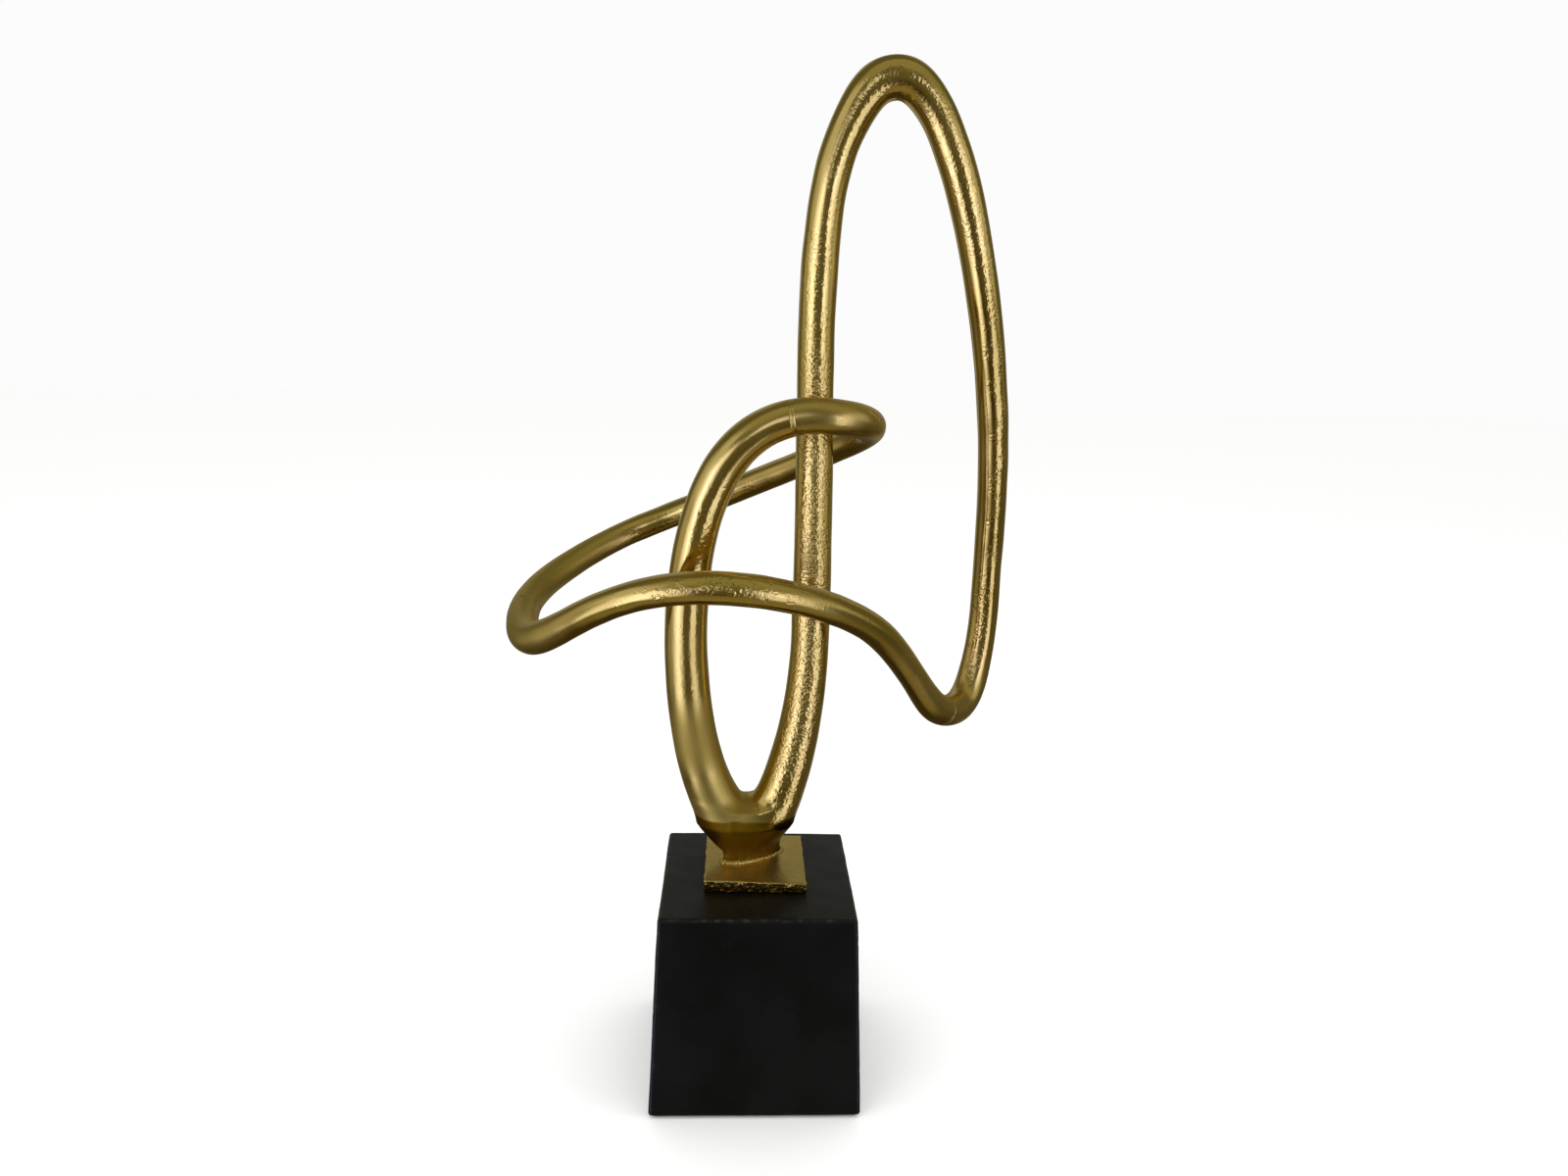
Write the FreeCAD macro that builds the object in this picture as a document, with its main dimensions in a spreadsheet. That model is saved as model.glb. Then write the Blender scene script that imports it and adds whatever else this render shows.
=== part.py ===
import FreeCAD, Part
import math
import os
from FreeCAD import Placement, Rotation, Vector
from Sketcher import Constraint

# Tabletop knot sculpture: one closed loop of tapering cast tube, welded up from castings,
# standing on a wedge-shaped neck, a hand-ground mounting plate and a tapered wooden plinth.
# Millimetres, +Z up, +Y to the back. Origin: centre of the footprint on the resting surface.

doc = FreeCAD.newDocument("knot_sculpture")

# ---------------------------------------------------------------- driving dimensions
SIZES = {
    "felt_thickness": 1.2, "felt_margin": 3,
    "plinth_height": 108.5, "plinth_foot_width": 109.6, "plinth_top_width": 100,
    "plinth_corner_round": 3, "plinth_edge_round": 1.5,
    "bolt_x": -2.5, "bolt_y": 8.5, "bolt_diameter": 6, "bolt_length": 100,
    "bolt_head_flats": 10, "bolt_head_height": 4,
    "plinth_hole": 7, "plate_hole": 6.6, "counterbore": 24, "counterbore_depth": 34,
    "washer_diameter": 18, "washer_hole": 6.4, "washer_thickness": 1.6,
    "lock_washer_diameter": 11.8, "lock_washer_thickness": 1.6, "lock_washer_gap": 1.2,
    "plate_x": -1.2, "plate_y": 6, "plate_width": 54, "plate_depth": 58,
    "plate_left_thickness": 7.2, "plate_right_thickness": 5.2,
    "plate_corner_round": 1.5, "plate_edge_round": 0.6,
    "pin_diameter": 4, "pin_length": 14, "pin_rise": 3.5, "pin_spacing": 36, "pin_y": 22,
    "weld_groove_depth": 1.6, "weld_half_width": 1.8, "weld_stand_out": 0.25, "weld_crown": 0.2,
    "fillet_weld_leg": 3.4, "fillet_weld_top": 1.1, "fillet_weld_height": 3,
}

# The loop's centreline, in order round the closed path: name, x, y, z and tube diameter.
STATIONS = [
    ("leg_root", -30, 5, 169.5, 24.8),
    ("leg_low", -36.5, 3, 205, 23),
    ("leg_mid", -38.5, 1, 248.5, 22),
    ("leg_high", -34, -1, 290, 21.2),
    ("leg_shoulder", -22.5, -3, 324, 20.4),
    ("loop_rise", -8, -5, 342.5, 19.8),
    ("loop_seam", 13, -6, 353, 18.8),
    ("loop_crest", 36, -5, 353.5, 17.7),
    ("turn_out", 52.5, 12, 348.5, 17),
    ("turn_back", 44.5, 37, 337.5, 15.2),
    ("back_right", 8, 73, 316, 14.8),
    ("back_mid", -40, 103, 291.5, 15.2),
    ("back_left", -80.5, 105, 274, 15.2),
    ("back_end", -113, 81, 257.5, 15.8),
    ("left_seam", -128, 44, 243.5, 17),
    ("left_heel", -120, 12, 236, 17.8),
    ("front_left", -98, -9, 248.5, 16.4),
    ("front_rise", -63.5, -29, 268, 15.8),
    ("front_mid", -24, -38, 275.2, 16.4),
    ("front_right", 18.5, -28, 267.5, 16),
    ("front_fall", 60.5, 1, 243, 16),
    ("front_low", 86, 25, 208.5, 15.8),
    ("right_seam", 103, 43, 188, 17.8),
    ("right_heel", 119.5, 63.5, 187.5, 18),
    ("right_low", 128, 71, 212, 17.2),
    ("right_rise", 129.3, 67, 258.5, 16.2),
    ("right_mid", 125.8, 52.5, 321, 16.8),
    ("right_high", 117, 37, 380, 17.2),
    ("right_shoulder", 103, 24, 437.5, 17.5),
    ("crown_right", 86.5, 15, 483, 18.2),
    ("crown_near", 75, 12.5, 502, 18.8),
    ("crown_top", 62, 11, 511, 20.5),
    ("crown_far", 51, 11, 509, 20.5),
    ("crown_left", 41.5, 12, 498, 19.2),
    ("bar_shoulder", 32, 14, 476, 18.2),
    ("bar_top", 26.5, 17, 440.5, 18.4),
    ("bar_high", 25, 20, 386, 19),
    ("bar_mid", 26, 19, 313, 19.6),
    ("bar_low", 26, 14, 256.5, 20.5),
    ("bar_knee", 23, 9, 203, 21.6),
    ("bar_root", 14.5, 6, 163, 24),
    ("neck_right", 9.5, 6, 149.5, 25),
    ("neck_right_low", 2, 6, 141, 26),
    ("neck_left_low", -13.5, 6, 140.3, 26.2),
    ("neck_left", -22, 6, 149.5, 26.2),
]

# The neck's elliptical levels, from inside the plate up into the bottom of the loop:
# name, centre x, centre y, z, half length, half thickness and turn about Z in degrees.
NECK_LEVELS = [
    ("foot", -2.5, 8.5, 112, 17.8, 5.4, 32),
    ("ankle", -2.8, 8, 122, 17.6, 7.4, 29),
    ("shin", -5.2, 7, 129.5, 20.4, 10.2, 15),
    ("collar", -7, 6, 137, 24.2, 12.3, 3),
    ("crotch", -7.3, 6, 144.5, 22.6, 11.2, 0),
]

sheet = doc.addObject("Spreadsheet::Sheet", "Sizes")
sheet_row = 0


def add_cell(alias, value):
    """Put one named driving dimension on the sheet."""
    global sheet_row
    sheet_row += 1
    sheet.set(f"A{sheet_row}", alias)
    sheet.set(f"B{sheet_row}", str(value))
    sheet.setAlias(f"B{sheet_row}", alias)


for size_name, size_value in SIZES.items():
    add_cell(size_name, size_value)
for name, x, y, z, diameter in STATIONS:
    add_cell(f"{name}_x", x)
    add_cell(f"{name}_y", y)
    add_cell(f"{name}_z", z)
    add_cell(f"{name}_diameter", diameter)
for name, x, y, z, half_length, half_thickness, turn in NECK_LEVELS:
    add_cell(f"neck_{name}_x", x)
    add_cell(f"neck_{name}_y", y)
    add_cell(f"neck_{name}_z", z)
    add_cell(f"neck_{name}_half_length", half_length)
    add_cell(f"neck_{name}_half_thickness", half_thickness)
    add_cell(f"neck_{name}_turn", turn)
doc.recompute()


def size(alias):
    return float(sheet.get(alias))


def bind(thing, **expressions):
    """Bind properties to sheet expressions; a double underscore stands for a dot."""
    for prop, expression in expressions.items():
        thing.setExpression(prop.replace("__", "."), expression)
    return thing


def add(kind, name, **expressions):
    return bind(doc.addObject(kind, name), **expressions)


def cut(name, base, *tools):
    """Take each tool from the base, one Part::Cut after another."""
    result = base
    for number, tool in enumerate(tools, 1):
        step = doc.addObject("Part::Cut", name if number == len(tools) else f"{name}_cut_{number}")
        step.Base, step.Tool = result, tool
        result = step
    return result


# ---------------------------------------------------------------- sketch helpers
def plane_of(body, role):
    return next(item for item in body.Origin.OriginFeatures if item.Role == role)


def outline_sketch(body, name, role, corners, offset=None):
    """A closed straight-sided sketch; each corner is a pair of sheet expressions."""
    sketch = body.newObject("Sketcher::SketchObject", name)
    sketch.AttachmentSupport = [(plane_of(body, role), "")]
    sketch.MapMode = "FlatFace"
    if offset:
        sketch.setExpression("AttachmentOffset.Base.z", offset)
    rough = [Vector(-1, -1, 0), Vector(1, -1, 0), Vector(1, 1, 0), Vector(-1, 1, 0)][:len(corners)]
    for index, start in enumerate(rough):
        sketch.addGeometry(Part.LineSegment(start, rough[(index + 1) % len(rough)]))
    for index, (across, up) in enumerate(corners):
        following = (index + 1) % len(corners)
        sketch.addConstraint(Constraint("Coincident", index, 2, following, 1))
        for kind, expression in (("DistanceX", across), ("DistanceY", up)):
            number = sketch.addConstraint(Constraint(kind, -1, 1, index, 1, 1.0))
            sketch.setExpression(f"Constraints[{number}]", expression)
    return sketch


def circle_pocket(body, name, role, x, y, diameter, depth, offset, away=False):
    """A round pocket; away turns its direction over."""
    sketch = body.newObject("Sketcher::SketchObject", f"{name}_outline")
    sketch.AttachmentSupport = [(plane_of(body, role), "")]
    sketch.MapMode = "FlatFace"
    sketch.setExpression("AttachmentOffset.Base.z", offset)
    sketch.addGeometry(Part.Circle(Vector(0, 0, 0), Vector(0, 0, 1), 1))
    for kind, expression in (("DistanceX", x), ("DistanceY", y)):
        number = sketch.addConstraint(Constraint(kind, -1, 1, 0, 3, 1.0))
        sketch.setExpression(f"Constraints[{number}]", expression)
    number = sketch.addConstraint(Constraint("Diameter", 0, 2.0))
    sketch.setExpression(f"Constraints[{number}]", diameter)
    pocket = body.newObject("PartDesign::Pocket", name)
    pocket.Profile = sketch
    pocket.Reversed = away
    pocket.setExpression("Length", depth)
    doc.recompute()
    return pocket


def square_corners(width):
    half = f"{width} / 2"
    return [(f"-{half}", f"-{half}"), (half, f"-{half}"), (half, half), (f"-{half}", half)]



# ---------------------------------------------------------------- plinth and what is under it
PLINTH_TOP = "(Sizes.felt_thickness + Sizes.plinth_height)"


def make_plinth():
    """Solid wooden block, wider at the foot, bored for the bolt and the locating pins."""
    body = doc.addObject("PartDesign::Body", "plinth_block")
    foot = outline_sketch(body, "foot_outline", "XY_Plane", square_corners("Sizes.plinth_foot_width"),
                          "Sizes.felt_thickness")
    taper = body.newObject("PartDesign::Pad", "taper")
    taper.Profile = foot
    taper.setExpression("Length", "Sizes.plinth_height")
    taper.setExpression("TaperAngle", "atan((Sizes.plinth_top_width - Sizes.plinth_foot_width) / 2"
                                      " / Sizes.plinth_height)")
    doc.recompute()
    upright = edges_where(taper.Shape, lambda edge: edge.BoundBox.ZLength > size("plinth_height") / 2)
    corners = round_edges(body, "corner_round", taper, upright, "Sizes.plinth_corner_round")
    level = edges_where(corners.Shape, lambda edge: edge.BoundBox.ZLength < 1)
    round_edges(body, "edge_round", corners, level, "Sizes.plinth_edge_round")
    circle_pocket(body, "counterbore", "XY_Plane", "Sizes.bolt_x", "Sizes.bolt_y",
                  "Sizes.counterbore", "Sizes.counterbore_depth", "Sizes.felt_thickness", away=True)
    circle_pocket(body, "bolt_hole", "XY_Plane", "Sizes.bolt_x", "Sizes.bolt_y",
                  "Sizes.plinth_hole", "Sizes.plinth_height", PLINTH_TOP)
    for side, sign in (("left", "-"), ("right", "+")):
        circle_pocket(body, f"{side}_pin_hole", "XY_Plane", pin_x(sign), "Sizes.pin_y",
                      "Sizes.pin_diameter", "Sizes.pin_length - Sizes.pin_rise", PLINTH_TOP)
    return body


def pin_x(sign):
    return f"Sizes.plate_x {sign} Sizes.pin_spacing / 2"


def edges_where(shape, wanted):
    return [f"Edge{number}" for number, edge in enumerate(shape.Edges, 1) if wanted(edge)]


def round_edges(body, name, base, edge_names, radius):
    feature = body.newObject("PartDesign::Fillet", name)
    feature.Base = (base, edge_names)
    feature.setExpression("Radius", radius)
    doc.recompute()
    return feature


def make_base_felt():
    """Sheet of felt glued under the plinth, over the counterbore's mouth."""
    side = "(Sizes.plinth_foot_width - 2 * Sizes.felt_margin)"
    return add("Part::Box", "base_felt", Length=side, Width=side, Height="Sizes.felt_thickness",
               Placement__Base__x=f"-{side} / 2", Placement__Base__y=f"-{side} / 2")


# ---------------------------------------------------------------- bolt, washers and pins
ROOF = "(Sizes.felt_thickness + Sizes.counterbore_depth)"
FLAT_WASHER_Z = f"({ROOF} - Sizes.washer_thickness)"
LOCK_WASHER_Z = f"({FLAT_WASHER_Z} - Sizes.lock_washer_thickness)"


def at_bolt(kind, name, z, **expressions):
    return add(kind, name, Placement__Base__x="Sizes.bolt_x", Placement__Base__y="Sizes.bolt_y",
               Placement__Base__z=z, **expressions)


def make_bolt():
    """Hexagon-headed bolt, driven up from the plinth's counterbore into the neck."""
    head = at_bolt("Part::Prism", "bolt_head", f"{LOCK_WASHER_Z} - Sizes.bolt_head_height",
                   Circumradius="Sizes.bolt_head_flats / 2 / cos(30)",
                   Height="Sizes.bolt_head_height")
    shank = at_bolt("Part::Cylinder", "bolt_shank", LOCK_WASHER_Z,
                    Radius="Sizes.bolt_diameter / 2", Height="Sizes.bolt_length")
    bolt = doc.addObject("Part::Fuse", "fixing_bolt")
    bolt.Base, bolt.Tool = head, shank
    return bolt


def make_washer(name, z, diameter, thickness):
    disc = at_bolt("Part::Cylinder", f"{name}_disc", z, Radius=f"{diameter} / 2", Height=thickness)
    hole = at_bolt("Part::Cylinder", f"{name}_hole", z, Radius="Sizes.washer_hole / 2", Height=thickness)
    return disc, hole


def make_flat_washer():
    disc, hole = make_washer("flat_washer", FLAT_WASHER_Z, "Sizes.washer_diameter",
                             "Sizes.washer_thickness")
    return cut("flat_washer", disc, hole)


def make_lock_washer():
    """Spring washer: a ring with one narrow gap."""
    disc, hole = make_washer("lock_washer", LOCK_WASHER_Z, "Sizes.lock_washer_diameter",
                             "Sizes.lock_washer_thickness")
    gap = add("Part::Box", "lock_washer_slot", Length="Sizes.lock_washer_diameter",
              Width="Sizes.lock_washer_gap", Height="Sizes.lock_washer_thickness",
              Placement__Base__x="Sizes.bolt_x",
              Placement__Base__y="Sizes.bolt_y - Sizes.lock_washer_gap / 2",
              Placement__Base__z=LOCK_WASHER_Z)
    return cut("lock_washer", disc, hole, gap)


def make_locating_pins():
    """Two pins that stop the plate turning on the plinth."""
    pins = []
    for side, sign in (("left", "-"), ("right", "+")):
        pins.append(add("Part::Cylinder", f"{side}_pin", Radius="Sizes.pin_diameter / 2",
                        Height="Sizes.pin_length", Placement__Base__x=pin_x(sign),
                        Placement__Base__y="Sizes.pin_y",
                        Placement__Base__z=f"{PLINTH_TOP} + Sizes.pin_rise - Sizes.pin_length"))
    group = doc.addObject("Part::Compound", "locating_pins")
    group.Links = pins
    return group


# ---------------------------------------------------------------- mounting plate
def make_mounting_plate():
    """Cast square plate, ground by hand so that it is thicker on the left."""
    body = doc.addObject("PartDesign::Body", "mounting_plate")
    left = "Sizes.plate_x - Sizes.plate_width / 2"
    right = "Sizes.plate_x + Sizes.plate_width / 2"
    corners = [(left, PLINTH_TOP), (right, PLINTH_TOP),
               (right, f"{PLINTH_TOP} + Sizes.plate_right_thickness"),
               (left, f"{PLINTH_TOP} + Sizes.plate_left_thickness")]
    profile = outline_sketch(body, "end_profile", "XZ_Plane", corners,
                             "-(Sizes.plate_y + Sizes.plate_depth / 2)")
    slab = body.newObject("PartDesign::Pad", "slab")
    slab.Profile = profile
    slab.setExpression("Length", "Sizes.plate_depth")
    doc.recompute()
    upright = edges_where(slab.Shape, lambda edge: edge.BoundBox.YLength < 1 and
                          edge.BoundBox.XLength < 1)
    corner_round = round_edges(body, "plate_corners", slab, upright, "Sizes.plate_corner_round")
    base_z = size("felt_thickness") + size("plinth_height")
    rim = edges_where(corner_round.Shape, lambda edge: edge.BoundBox.ZMin > base_z + 1)
    round_edges(body, "plate_rim", corner_round, rim, "Sizes.plate_edge_round")
    circle_pocket(body, "plate_bolt_hole", "XY_Plane", "Sizes.bolt_x", "Sizes.bolt_y",
                  "Sizes.plate_hole", "Sizes.plate_left_thickness", PLINTH_TOP, away=True)
    for side, sign in (("left", "-"), ("right", "+")):
        circle_pocket(body, f"plate_{side}_pin_hole", "XY_Plane", pin_x(sign), "Sizes.pin_y",
                      "Sizes.pin_diameter", "Sizes.pin_rise", PLINTH_TOP, away=True)
    return body


# ---------------------------------------------------------------- the loop's centreline
NAMES = [station[0] for station in STATIONS]
POINTS = [Vector(size(f"{name}_x"), size(f"{name}_y"), size(f"{name}_z")) for name in NAMES]
centreline = Part.BSplineCurve()
centreline.interpolate(Points=POINTS, PeriodicFlag=True)
LOOP_SPAN = centreline.LastParameter - centreline.FirstParameter
SECTION_TURN = math.radians(12)  # the tube turns no more than this from one section to the next
SECTION_STEP = 13  # and runs no further than this
RING_POLES = 12  # poles of the periodic cubic that draws a round section
RING_ANGLES = [2 * math.pi * number / RING_POLES for number in range(RING_POLES)]
RING_SWELL = 3 / (2 + math.cos(2 * math.pi / RING_POLES))  # puts the curve itself on the radius


def station_parameter(index):
    """Centreline parameter of a station; stations past the last one go on round the loop."""
    laps, place = divmod(index, len(NAMES))
    return centreline.parameter(POINTS[place]) + laps * LOOP_SPAN


def wrapped(parameter):
    """Bring a parameter from a later lap back onto the first."""
    return centreline.FirstParameter + (parameter - centreline.FirstParameter) % LOOP_SPAN


def tangent_at(parameter):
    return centreline.tangent(wrapped(parameter))[0]


def centre_at(parameter):
    return centreline.value(wrapped(parameter))


def section_places(first, last):
    """Where a tube's sections stand: (centreline parameter, radius) pairs."""
    places = []
    for index in range(first, last):
        start, end = station_parameter(index), station_parameter(index + 1)
        middle = tangent_at((start + end) / 2)
        turn = tangent_at(start).getAngle(middle) + middle.getAngle(tangent_at(end))
        run = (centre_at(end) - centre_at(start)).Length
        steps = math.ceil(max(turn / SECTION_TURN, run / SECTION_STEP))
        start_radius = size(f"{NAMES[index % len(NAMES)]}_diameter") / 2
        end_radius = size(f"{NAMES[(index + 1) % len(NAMES)]}_diameter") / 2
        for step in range(steps):
            share = step / steps
            places.append((start + (end - start) * share,
                           start_radius + (end_radius - start_radius) * share))
    places.append((station_parameter(last), size(f"{NAMES[last % len(NAMES)]}_diameter") / 2))
    return places


def skin(rows, parameters):
    """Closed tube skinned over rings of poles; each ring is a periodic cubic."""
    columns = []
    for column_points in zip(*rows):
        column = Part.BSplineCurve()
        column.interpolate(Points=list(column_points), Parameters=parameters)
        columns.append(column)
    surface = Part.BSplineSurface()
    surface.buildFromPolesMultsKnots(
        [column.getPoles() for column in columns], [1] * (RING_POLES + 1),
        columns[0].getMultiplicities(), list(range(RING_POLES + 1)), columns[0].getKnots(),
        True, False, 3, 3)
    side = surface.toShape()
    rims = [edge for edge in side.Edges if not edge.isSeam(side)]
    caps = [Part.Face(Part.Wire([rim])) for rim in rims]
    shell = Part.makeShell([side, *caps])
    shell.sewShape()
    solid = Part.Solid(shell)
    if solid.Volume < 0:
        solid.reverse()
    return solid


def make_tube(name, first_station, last_station):
    """Tapering tube from one station to another, every section square to the centreline."""
    first = NAMES.index(first_station)
    last = NAMES.index(last_station)
    if last <= first:
        last += len(NAMES)
    places = section_places(first, last)
    across = Vector(0, 1, 0)
    rows = []
    for parameter, radius in places:
        along = tangent_at(parameter)
        across = (across - along * across.dot(along)).normalize()
        upward = along.cross(across)
        rows.append([centre_at(parameter) + (across * math.cos(angle) + upward * math.sin(angle))
                     * radius * RING_SWELL for angle in RING_ANGLES])
    tube = doc.addObject("Part::Feature", name)
    tube.Shape = skin(rows, [parameter for parameter, radius in places])
    return tube


# ---------------------------------------------------------------- seam welds
def make_seam_weld(name, station):
    """Ring of weld metal that fills the V between two castings and stands a little proud."""
    body = doc.addObject("PartDesign::Body", name)
    radius = f"Sizes.{station}_diameter / 2"
    root = f"{radius} - Sizes.weld_groove_depth"
    edge = f"{radius} + Sizes.weld_stand_out"
    crown = f"{edge} + Sizes.weld_crown"
    corners = [(root, "0"), (edge, "-Sizes.weld_half_width"), (crown, "0"),
               (edge, "Sizes.weld_half_width")]
    profile = outline_sketch(body, f"{name}_profile", "XZ_Plane", corners)
    ring = body.newObject("PartDesign::Revolution", f"{name}_ring")
    ring.Profile = profile
    ring.ReferenceAxis = (profile, ["V_Axis"])
    ring.Angle = 360
    along = tangent_at(station_parameter(NAMES.index(station)))
    body.Placement = Placement(POINTS[NAMES.index(station)], Rotation(Vector(0, 0, 1), along))
    doc.recompute()
    return body


# ---------------------------------------------------------------- neck
def neck_ring(level, z, grow=0):
    """One level of the neck as a closed wire, larger all round by grow."""
    ellipse = Part.Ellipse(Vector(0, 0, 0), size(f"neck_{level}_half_length") + grow,
                           size(f"neck_{level}_half_thickness") + grow)
    turn = Rotation(Vector(0, 0, 1), size(f"neck_{level}_turn"))
    ring = Part.Wire([ellipse.toBSpline().toShape()])
    ring.Placement = Placement(Vector(size(f"neck_{level}_x"), size(f"neck_{level}_y"), z), turn)
    return ring


def make_neck(plate, welds):
    """Wedge that carries the loop: elliptical levels blended into the loop's U-shaped bottom."""
    rings = [neck_ring(level[0], size(f"neck_{level[0]}_z")) for level in NECK_LEVELS]
    wedge = doc.addObject("Part::Feature", "neck_wedge")
    wedge.Shape = Part.makeLoft(rings, True)
    u_bend = make_tube("neck_u_bend", "bar_root", "leg_root")
    blank = doc.addObject("Part::Fuse", "neck_blank")
    blank.Base, blank.Tool = wedge, u_bend
    hole = at_bolt("Part::Cylinder", "neck_bolt_hole", PLINTH_TOP, Radius="Sizes.bolt_diameter / 2",
                   Height=f"{LOCK_WASHER_Z} + Sizes.bolt_length + 1 - {PLINTH_TOP}")
    return blank, cut("neck_casting", blank, plate, hole, *welds)


def make_fillet_weld(neck_blank, plate):
    """Sloping bead laid round the undrilled neck's foot where it meets the plate."""
    low = size("felt_thickness") + size("plinth_height") + size("plate_right_thickness") - 1
    high = low + size("fillet_weld_height") + 1
    bead = doc.addObject("Part::Feature", "fillet_bead")
    bead.Shape = Part.makeLoft([neck_ring("foot", low, size("fillet_weld_leg")),
                                neck_ring("foot", high, size("fillet_weld_top"))], True, True)
    return cut("plate_fillet_weld", bead, neck_blank, plate)


# ---------------------------------------------------------------- assembly
plate = make_mounting_plate()
weld_stations = {"leg_root_weld": "leg_root", "loop_top_weld": "loop_seam",
                 "left_bend_weld": "left_seam", "right_bend_weld": "right_seam",
                 "bar_root_weld": "bar_root"}
weld = {name: make_seam_weld(name, station) for name, station in weld_stations.items()}
castings = [
    ("leg_casting", "leg_root", "loop_seam", "leg_root_weld", "loop_top_weld"),
    ("back_loop_casting", "loop_seam", "left_seam", "loop_top_weld", "left_bend_weld"),
    ("front_sweep_casting", "left_seam", "right_seam", "left_bend_weld", "right_bend_weld"),
    ("tall_loop_casting", "right_seam", "bar_root", "right_bend_weld", "bar_root_weld"),
]
neck_blank, neck = make_neck(plate, [weld["bar_root_weld"], weld["leg_root_weld"]])
subparts = [make_plinth(), make_base_felt(), make_bolt(), make_lock_washer(), make_flat_washer(),
            make_locating_pins(), plate, neck, make_fillet_weld(neck_blank, plate), *weld.values()]
for name, start, end, start_weld, end_weld in castings:
    subparts.append(cut(name, make_tube(f"{name}_blank", start, end), weld[start_weld], weld[end_weld]))
doc.recompute()

# ---------------------------------------------------------------- checks and export
for thing in doc.Objects:
    if "Invalid" in thing.State or "Error" in thing.State:
        raise RuntimeError(f"{thing.Name} did not build: {thing.State}")
os.makedirs("parts", exist_ok=True)
for subpart in subparts:
    subpart.Label = subpart.Name
    if subpart.Shape.isNull() or not subpart.Shape.isValid():
        raise RuntimeError(f"{subpart.Label} has no valid shape")
    box = subpart.Shape.BoundBox
    print(f"{subpart.Label:20} solids {len(subpart.Shape.Solids)} volume {subpart.Shape.Volume:9.0f}"
          f"  z {box.ZMin:6.1f} to {box.ZMax:6.1f}")
    subpart.Shape.exportStep(f"parts/{subpart.Label}.step")
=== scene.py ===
"""Looks for the abstract knot sculpture: gold cast tube, ground seams, painted plinth.

The object's lengths are in mm, and add_piece turns them into metres. The studio's are in metres.
"""

import math

import bpy
import numpy as np
from mathutils import Matrix, Vector


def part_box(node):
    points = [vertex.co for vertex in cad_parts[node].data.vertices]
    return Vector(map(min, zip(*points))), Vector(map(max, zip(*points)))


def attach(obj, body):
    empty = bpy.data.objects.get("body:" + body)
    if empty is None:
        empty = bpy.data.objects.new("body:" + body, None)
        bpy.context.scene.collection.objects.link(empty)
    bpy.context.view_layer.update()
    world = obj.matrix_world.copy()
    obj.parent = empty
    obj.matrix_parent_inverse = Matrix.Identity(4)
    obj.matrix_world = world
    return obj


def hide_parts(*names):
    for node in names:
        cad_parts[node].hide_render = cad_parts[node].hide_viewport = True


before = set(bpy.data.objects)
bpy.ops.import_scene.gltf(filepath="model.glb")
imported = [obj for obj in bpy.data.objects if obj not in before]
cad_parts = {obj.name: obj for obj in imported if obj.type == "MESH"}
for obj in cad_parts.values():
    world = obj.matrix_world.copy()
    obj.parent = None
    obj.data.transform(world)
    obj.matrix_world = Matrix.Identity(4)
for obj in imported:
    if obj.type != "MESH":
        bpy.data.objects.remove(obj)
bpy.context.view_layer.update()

MM = 0.001

# ---------------------------------------------------------------- sizes shared with the CAD part
# The loop's centreline, in order round the closed path: name, x, y, z and tube diameter.
STATIONS = [
    ("leg_root", -30, 5, 169.5, 24.8),
    ("leg_low", -36.5, 3, 205, 23),
    ("leg_mid", -38.5, 1, 248.5, 22),
    ("leg_high", -34, -1, 290, 21.2),
    ("leg_shoulder", -22.5, -3, 324, 20.4),
    ("loop_rise", -8, -5, 342.5, 19.8),
    ("loop_seam", 13, -6, 353, 18.8),
    ("loop_crest", 36, -5, 353.5, 17.7),
    ("turn_out", 52.5, 12, 348.5, 17),
    ("turn_back", 44.5, 37, 337.5, 15.2),
    ("back_right", 8, 73, 316, 14.8),
    ("back_mid", -40, 103, 291.5, 15.2),
    ("back_left", -80.5, 105, 274, 15.2),
    ("back_end", -113, 81, 257.5, 15.8),
    ("left_seam", -128, 44, 243.5, 17),
    ("left_heel", -120, 12, 236, 17.8),
    ("front_left", -98, -9, 248.5, 16.4),
    ("front_rise", -63.5, -29, 268, 15.8),
    ("front_mid", -24, -38, 275.2, 16.4),
    ("front_right", 18.5, -28, 267.5, 16),
    ("front_fall", 60.5, 1, 243, 16),
    ("front_low", 86, 25, 208.5, 15.8),
    ("right_seam", 103, 43, 188, 17.8),
    ("right_heel", 119.5, 63.5, 187.5, 18),
    ("right_low", 128, 71, 212, 17.2),
    ("right_rise", 129.3, 67, 258.5, 16.2),
    ("right_mid", 125.8, 52.5, 321, 16.8),
    ("right_high", 117, 37, 380, 17.2),
    ("right_shoulder", 103, 24, 437.5, 17.5),
    ("crown_right", 86.5, 15, 483, 18.2),
    ("crown_near", 75, 12.5, 502, 18.8),
    ("crown_top", 62, 11, 511, 20.5),
    ("crown_far", 51, 11, 509, 20.5),
    ("crown_left", 41.5, 12, 498, 19.2),
    ("bar_shoulder", 32, 14, 476, 18.2),
    ("bar_top", 26.5, 17, 440.5, 18.4),
    ("bar_high", 25, 20, 386, 19),
    ("bar_mid", 26, 19, 313, 19.6),
    ("bar_low", 26, 14, 256.5, 20.5),
    ("bar_knee", 23, 9, 203, 21.6),
    ("bar_root", 14.5, 6, 163, 24),
    ("neck_right", 9.5, 6, 149.5, 25),
    ("neck_right_low", 2, 6, 141, 26),
    ("neck_left_low", -13.5, 6, 140.3, 26.2),
    ("neck_left", -22, 6, 149.5, 26.2),
]
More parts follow.
